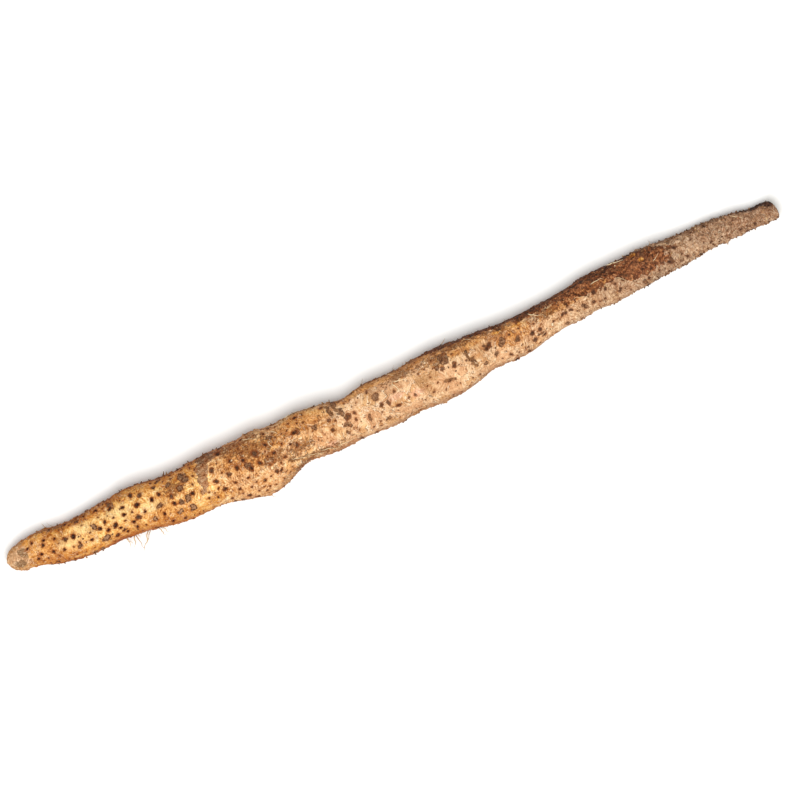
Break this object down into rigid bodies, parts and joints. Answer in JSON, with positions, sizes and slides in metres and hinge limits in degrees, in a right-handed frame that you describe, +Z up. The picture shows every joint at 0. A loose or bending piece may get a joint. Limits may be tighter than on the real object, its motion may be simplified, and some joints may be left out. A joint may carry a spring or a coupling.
{
  "type": "chinese yam tuber",
  "caption": "Long slim Chinese yam tuber with a thick belly, a rounded growing tip and a straight cut at its narrow neck, lying on its side.",
  "frame": {"origin": "under the middle of the tuber's bounding box, on the surface that it lies on", "axes": "+X along the tuber from its growing tip to the cut neck, +Z up"},
  "size_m": [0.605, 0.0528, 0.0426],
  "materials": {
    "peel": "thin corky tan peel, dull, with dark root scars and dried soil",
    "cut_flesh": "dried starchy off-white flesh, dull",
    "rootlets": "dry pale brown root hairs, dull"
  },
  "bodies": {
    "root": {"tuber": "peel"}
  },
  "joints": []
}
